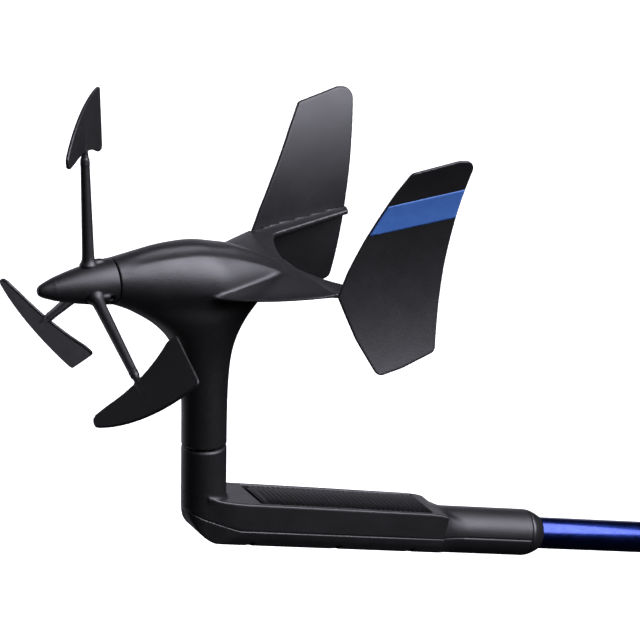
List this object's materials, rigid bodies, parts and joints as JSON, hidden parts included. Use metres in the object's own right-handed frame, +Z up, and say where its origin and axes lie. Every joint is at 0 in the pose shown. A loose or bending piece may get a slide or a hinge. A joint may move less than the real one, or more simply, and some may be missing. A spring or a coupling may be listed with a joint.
{
  "type": "vane anemometer",
  "caption": "Masthead wind sensor: a bladed rotor on a nacelle that turns with a finned tail, carried by a sloping boom arm.",
  "frame": {"origin": "centre of the end face of the boom's plug spigot, where the arm is held", "axes": "+X from the nose towards the boom's free end, +Z up along the yaw axis, +Y towards the right-hand fin seen from behind the nose"},
  "size_m": [0.4767, 0.1587, 0.3087],
  "materials": {
    "shell_plastic": "satin moulded with a fine stipple",
    "fin_plastic": "satin moulded with a fine stipple",
    "blade_plastic": "satin moulded",
    "panel_plastic": "ribbed satin",
    "ring_plastic": "smooth satin",
    "seal_rubber": "moulded",
    "anodised_blue": "glossy deep blue anodised",
    "band_blue": "satin film",
    "stainless": "turned",
    "spring_steel": "phosphated",
    "bearing_steel": "ground and polished",
    "alloy": "turned",
    "ferrite": "sintered",
    "gold_contact": "gold plated",
    "cable_jacket": "smooth jacket",
    "circuit_green": "solder mask",
    "chip_black": "moulded",
    "white_plastic": "moulded"
  },
  "bodies": {
    "arm": {"arm_upper_shell": "shell_plastic", "arm_lower_shell": "shell_plastic", "ribbed_top_panel": "panel_plastic", "shell_gasket": "seal_rubber", "shell_screws": "stainless", "collar_end_ring": "ring_plastic", "boom_seal": "seal_rubber", "boom_tube": "anodised_blue", "boom_end_plug": "ring_plastic", "end_plug_seal": "seal_rubber", "contact_pins": "gold_contact", "signal_cable": "cable_jacket", "circuit_board": "circuit_green", "board_components": "chip_black", "board_screws": "stainless", "yaw_spindle": "stainless", "spindle_nut": "stainless", "direction_sensor": "circuit_green", "rotor_pickup": "chip_black", "spindle_clip": "spring_steel", "lower_yaw_inner_race": "bearing_steel", "upper_yaw_inner_race": "bearing_steel", "yaw_bearing_spacer": "alloy"},
    "vane": {"head_shell": "shell_plastic", "left_fin": "fin_plastic", "right_fin": "fin_plastic", "left_fin_band": "band_blue", "right_fin_band": "band_blue", "lower_yaw_outer_race": "bearing_steel", "upper_yaw_outer_race": "bearing_steel", "yaw_outer_spacer": "alloy", "pylon_retaining_ring": "ring_plastic", "direction_magnet": "ferrite", "rotor_bearing_housing": "alloy", "front_rotor_outer_race": "bearing_steel", "rear_rotor_outer_race": "bearing_steel", "shaft_seal": "seal_rubber"},
    "rotor": {"spinner": "shell_plastic", "blade_top": "blade_plastic", "blade_left": "blade_plastic", "blade_right": "blade_plastic", "rotor_shaft": "stainless", "spinner_grub_screw": "stainless", "front_rotor_inner_race": "bearing_steel", "rear_rotor_inner_race": "bearing_steel", "rotor_bearing_spacer": "alloy", "shaft_clip": "spring_steel", "magnet_carrier": "white_plastic", "rotor_magnet": "ferrite"},
    "yaw_balls": {"lower_yaw_balls": "bearing_steel", "upper_yaw_balls": "bearing_steel"},
    "rotor_balls": {"front_rotor_balls": "bearing_steel", "rear_rotor_balls": "bearing_steel"}
  },
  "joints": [
    {"name": "vane_yaw", "type": "hinge", "parent": "arm", "child": "vane", "pos_m": [-0.39052, 0, 0.21588], "axis": [0, 0, 1], "continuous": true},
    {"name": "rotor_spin", "type": "hinge", "parent": "vane", "child": "rotor", "pos_m": [-0.44902, 0, 0.21588], "axis": [1, 0, 0], "continuous": true},
    {"name": "yaw_ball_spin", "type": "hinge", "parent": "arm", "child": "yaw_balls", "pos_m": [-0.39052, 0, 0.14588], "axis": [0, 0, 1], "continuous": true},
    {"name": "rotor_ball_spin", "type": "hinge", "parent": "vane", "child": "rotor_balls", "pos_m": [-0.42452, 0, 0.21588], "axis": [1, 0, 0], "continuous": true}
  ],
  "couplings": [
    {"joint": "yaw_ball_spin", "follows": "vane_yaw", "ratio": 0.6},
    {"joint": "rotor_ball_spin", "follows": "rotor_spin", "ratio": 0.3933}
  ]
}
